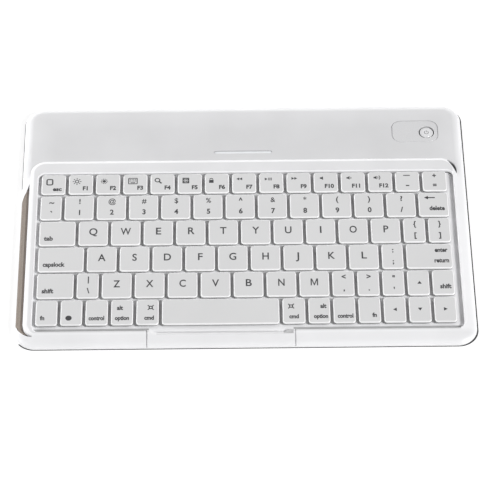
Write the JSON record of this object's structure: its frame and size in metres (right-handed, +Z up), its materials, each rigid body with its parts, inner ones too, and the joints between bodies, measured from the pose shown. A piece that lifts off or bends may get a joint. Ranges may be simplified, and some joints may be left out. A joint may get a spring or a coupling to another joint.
{
  "type": "tablet keyboard case",
  "caption": "Thin white keyboard base for a mid-size tablet: raised island with travelling key caps, low rear deck with round power button, rubber feet.",
  "frame": {"origin": "centre of the bounding box at the surface that the feet stand on", "axes": "+X along the width to the typist's right, +Y from the typist to the rear edge, +Z up through the key tops"},
  "size_m": [0.246, 0.172, 0.0066],
  "materials": {
    "shell": "white satin moulding with a very fine grain",
    "frame": "white satin moulding, slightly brighter than the shell",
    "cover": "white, finely textured",
    "keys": "white satin caps with dark grey printed legends",
    "panel": "semi-gloss white insert",
    "button": "semi-gloss white",
    "light": "frosted white light guide",
    "grip": "taupe soft-touch elastomer",
    "feet": "pale grey rubber, matt",
    "domes": "milky silicone",
    "film": "printed polyester film",
    "steel": "plain sheet steel",
    "board": "green solder mask",
    "battery": "foil pouch"
  },
  "bodies": {
    "base": {"top_shell": "shell", "key_tray": "frame", "bottom_cover": "cover", "left_edge_grip": "grip", "front_foot": "feet", "rear_foot": "feet", "key_support_plate": "steel", "key_circuit_sheet": "film", "dome_sheet": "domes", "main_board": "board", "battery": "battery", "charging_port": "steel", "control_panel": "panel", "indicator_bar": "light"},
    "keys_function_left": {"keys_function_left": "keys"},
    "keys_function_right": {"keys_function_right": "keys"},
    "keys_number_left": {"keys_number_left": "keys"},
    "keys_number_right": {"keys_number_right": "keys"},
    "key_delete": {"key_delete": "keys"},
    "key_tab": {"key_tab": "keys"},
    "key_q": {"key_q": "keys"},
    "key_w": {"key_w": "keys"},
    "key_e": {"key_e": "keys"},
    "key_r": {"key_r": "keys"},
    "key_t": {"key_t": "keys"},
    "key_y": {"key_y": "keys"},
    "key_u": {"key_u": "keys"},
    "key_i": {"key_i": "keys"},
    "key_o": {"key_o": "keys"},
    "key_p": {"key_p": "keys"},
    "keys_brackets": {"keys_brackets": "keys"},
    "key_caps_lock": {"key_caps_lock": "keys"},
    "key_a": {"key_a": "keys"},
    "key_s": {"key_s": "keys"},
    "key_d": {"key_d": "keys"},
    "key_f": {"key_f": "keys"},
    "key_g": {"key_g": "keys"},
    "key_h": {"key_h": "keys"},
    "key_j": {"key_j": "keys"},
    "key_k": {"key_k": "keys"},
    "key_l": {"key_l": "keys"},
    "key_semicolon": {"key_semicolon": "keys"},
    "key_enter": {"key_enter": "keys"},
    "key_shift_left": {"key_shift_left": "keys"},
    "key_backslash": {"key_backslash": "keys"},
    "key_z": {"key_z": "keys"},
    "key_x": {"key_x": "keys"},
    "key_c": {"key_c": "keys"},
    "key_v": {"key_v": "keys"},
    "key_b": {"key_b": "keys"},
    "key_n": {"key_n": "keys"},
    "key_m": {"key_m": "keys"},
    "keys_punctuation": {"keys_punctuation": "keys"},
    "key_arrow_up": {"key_arrow_up": "keys"},
    "key_shift_right": {"key_shift_right": "keys"},
    "keys_modifiers_left": {"keys_modifiers_left": "keys"},
    "key_space": {"key_space": "keys"},
    "keys_modifiers_right": {"keys_modifiers_right": "keys"},
    "keys_arrows": {"keys_arrows": "keys"},
    "power_button": {"power_button": "button"}
  },
  "joints": [
    {"name": "keys_function_left_press", "type": "slide", "parent": "base", "child": "keys_function_left", "axis": [0, 0, -1], "range_m": [0, 0.0012], "stiffness_N_per_m": 2000},
    {"name": "keys_function_right_press", "type": "slide", "parent": "base", "child": "keys_function_right", "axis": [0, 0, -1], "range_m": [0, 0.0012], "stiffness_N_per_m": 1750},
    {"name": "keys_number_left_press", "type": "slide", "parent": "base", "child": "keys_number_left", "axis": [0, 0, -1], "range_m": [0, 0.0012], "stiffness_N_per_m": 1500},
    {"name": "keys_number_right_press", "type": "slide", "parent": "base", "child": "keys_number_right", "axis": [0, 0, -1], "range_m": [0, 0.0012], "stiffness_N_per_m": 1500},
    {"name": "key_delete_press", "type": "slide", "parent": "base", "child": "key_delete", "axis": [0, 0, -1], "range_m": [0, 0.0012], "stiffness_N_per_m": 250},
    {"name": "key_tab_press", "type": "slide", "parent": "base", "child": "key_tab", "axis": [0, 0, -1], "range_m": [0, 0.0012], "stiffness_N_per_m": 250},
    {"name": "key_q_press", "type": "slide", "parent": "base", "child": "key_q", "axis": [0, 0, -1], "range_m": [0, 0.0012], "stiffness_N_per_m": 250},
    {"name": "key_w_press", "type": "slide", "parent": "base", "child": "key_w", "axis": [0, 0, -1], "range_m": [0, 0.0012], "stiffness_N_per_m": 250},
    {"name": "key_e_press", "type": "slide", "parent": "base", "child": "key_e", "axis": [0, 0, -1], "range_m": [0, 0.0012], "stiffness_N_per_m": 250},
    {"name": "key_r_press", "type": "slide", "parent": "base", "child": "key_r", "axis": [0, 0, -1], "range_m": [0, 0.0012], "stiffness_N_per_m": 250},
    {"name": "key_t_press", "type": "slide", "parent": "base", "child": "key_t", "axis": [0, 0, -1], "range_m": [0, 0.0012], "stiffness_N_per_m": 250},
    {"name": "key_y_press", "type": "slide", "parent": "base", "child": "key_y", "axis": [0, 0, -1], "range_m": [0, 0.0012], "stiffness_N_per_m": 250},
    {"name": "key_u_press", "type": "slide", "parent": "base", "child": "key_u", "axis": [0, 0, -1], "range_m": [0, 0.0012], "stiffness_N_per_m": 250},
    {"name": "key_i_press", "type": "slide", "parent": "base", "child": "key_i", "axis": [0, 0, -1], "range_m": [0, 0.0012], "stiffness_N_per_m": 250},
    {"name": "key_o_press", "type": "slide", "parent": "base", "child": "key_o", "axis": [0, 0, -1], "range_m": [0, 0.0012], "stiffness_N_per_m": 250},
    {"name": "key_p_press", "type": "slide", "parent": "base", "child": "key_p", "axis": [0, 0, -1], "range_m": [0, 0.0012], "stiffness_N_per_m": 250},
    {"name": "keys_brackets_press", "type": "slide", "parent": "base", "child": "keys_brackets", "axis": [0, 0, -1], "range_m": [0, 0.0012], "stiffness_N_per_m": 500},
    {"name": "key_caps_lock_press", "type": "slide", "parent": "base", "child": "key_caps_lock", "axis": [0, 0, -1], "range_m": [0, 0.0012], "stiffness_N_per_m": 250},
    {"name": "key_a_press", "type": "slide", "parent": "base", "child": "key_a", "axis": [0, 0, -1], "range_m": [0, 0.0012], "stiffness_N_per_m": 250},
    {"name": "key_s_press", "type": "slide", "parent": "base", "child": "key_s", "axis": [0, 0, -1], "range_m": [0, 0.0012], "stiffness_N_per_m": 250},
    {"name": "key_d_press", "type": "slide", "parent": "base", "child": "key_d", "axis": [0, 0, -1], "range_m": [0, 0.0012], "stiffness_N_per_m": 250},
    {"name": "key_f_press", "type": "slide", "parent": "base", "child": "key_f", "axis": [0, 0, -1], "range_m": [0, 0.0012], "stiffness_N_per_m": 250},
    {"name": "key_g_press", "type": "slide", "parent": "base", "child": "key_g", "axis": [0, 0, -1], "range_m": [0, 0.0012], "stiffness_N_per_m": 250},
    {"name": "key_h_press", "type": "slide", "parent": "base", "child": "key_h", "axis": [0, 0, -1], "range_m": [0, 0.0012], "stiffness_N_per_m": 250},
    {"name": "key_j_press", "type": "slide", "parent": "base", "child": "key_j", "axis": [0, 0, -1], "range_m": [0, 0.0012], "stiffness_N_per_m": 250},
    {"name": "key_k_press", "type": "slide", "parent": "base", "child": "key_k", "axis": [0, 0, -1], "range_m": [0, 0.0012], "stiffness_N_per_m": 250},
    {"name": "key_l_press", "type": "slide", "parent": "base", "child": "key_l", "axis": [0, 0, -1], "range_m": [0, 0.0012], "stiffness_N_per_m": 250},
    {"name": "key_semicolon_press", "type": "slide", "parent": "base", "child": "key_semicolon", "axis": [0, 0, -1], "range_m": [0, 0.0012], "stiffness_N_per_m": 250},
    {"name": "key_enter_press", "type": "slide", "parent": "base", "child": "key_enter", "axis": [0, 0, -1], "range_m": [0, 0.0012], "stiffness_N_per_m": 250},
    {"name": "key_shift_left_press", "type": "slide", "parent": "base", "child": "key_shift_left", "axis": [0, 0, -1], "range_m": [0, 0.0012], "stiffness_N_per_m": 250},
    {"name": "key_backslash_press", "type": "slide", "parent": "base", "child": "key_backslash", "axis": [0, 0, -1], "range_m": [0, 0.0012], "stiffness_N_per_m": 250},
    {"name": "key_z_press", "type": "slide", "parent": "base", "child": "key_z", "axis": [0, 0, -1], "range_m": [0, 0.0012], "stiffness_N_per_m": 250},
    {"name": "key_x_press", "type": "slide", "parent": "base", "child": "key_x", "axis": [0, 0, -1], "range_m": [0, 0.0012], "stiffness_N_per_m": 250},
    {"name": "key_c_press", "type": "slide", "parent": "base", "child": "key_c", "axis": [0, 0, -1], "range_m": [0, 0.0012], "stiffness_N_per_m": 250},
    {"name": "key_v_press", "type": "slide", "parent": "base", "child": "key_v", "axis": [0, 0, -1], "range_m": [0, 0.0012], "stiffness_N_per_m": 250},
    {"name": "key_b_press", "type": "slide", "parent": "base", "child": "key_b", "axis": [0, 0, -1], "range_m": [0, 0.0012], "stiffness_N_per_m": 250},
    {"name": "key_n_press", "type": "slide", "parent": "base", "child": "key_n", "axis": [0, 0, -1], "range_m": [0, 0.0012], "stiffness_N_per_m": 250},
    {"name": "key_m_press", "type": "slide", "parent": "base", "child": "key_m", "axis": [0, 0, -1], "range_m": [0, 0.0012], "stiffness_N_per_m": 250},
    {"name": "keys_punctuation_press", "type": "slide", "parent": "base", "child": "keys_punctuation", "axis": [0, 0, -1], "range_m": [0, 0.0012], "stiffness_N_per_m": 750},
    {"name": "key_arrow_up_press", "type": "slide", "parent": "base", "child": "key_arrow_up", "axis": [0, 0, -1], "range_m": [0, 0.0012], "stiffness_N_per_m": 250},
    {"name": "key_shift_right_press", "type": "slide", "parent": "base", "child": "key_shift_right", "axis": [0, 0, -1], "range_m": [0, 0.0012], "stiffness_N_per_m": 250},
    {"name": "keys_modifiers_left_press", "type": "slide", "parent": "base", "child": "keys_modifiers_left", "axis": [0, 0, -1], "range_m": [0, 0.0012], "stiffness_N_per_m": 1250},
    {"name": "key_space_press", "type": "slide", "parent": "base", "child": "key_space", "axis": [0, 0, -1], "range_m": [0, 0.0012], "stiffness_N_per_m": 250},
    {"name": "keys_modifiers_right_press", "type": "slide", "parent": "base", "child": "keys_modifiers_right", "axis": [0, 0, -1], "range_m": [0, 0.0012], "stiffness_N_per_m": 1000},
    {"name": "keys_arrows_press", "type": "slide", "parent": "base", "child": "keys_arrows", "axis": [0, 0, -1], "range_m": [0, 0.0012], "stiffness_N_per_m": 750},
    {"name": "power_button_press", "type": "slide", "parent": "base", "child": "power_button", "axis": [0, 0, -1], "range_m": [0, 0.0004], "stiffness_N_per_m": 1200}
  ]
}
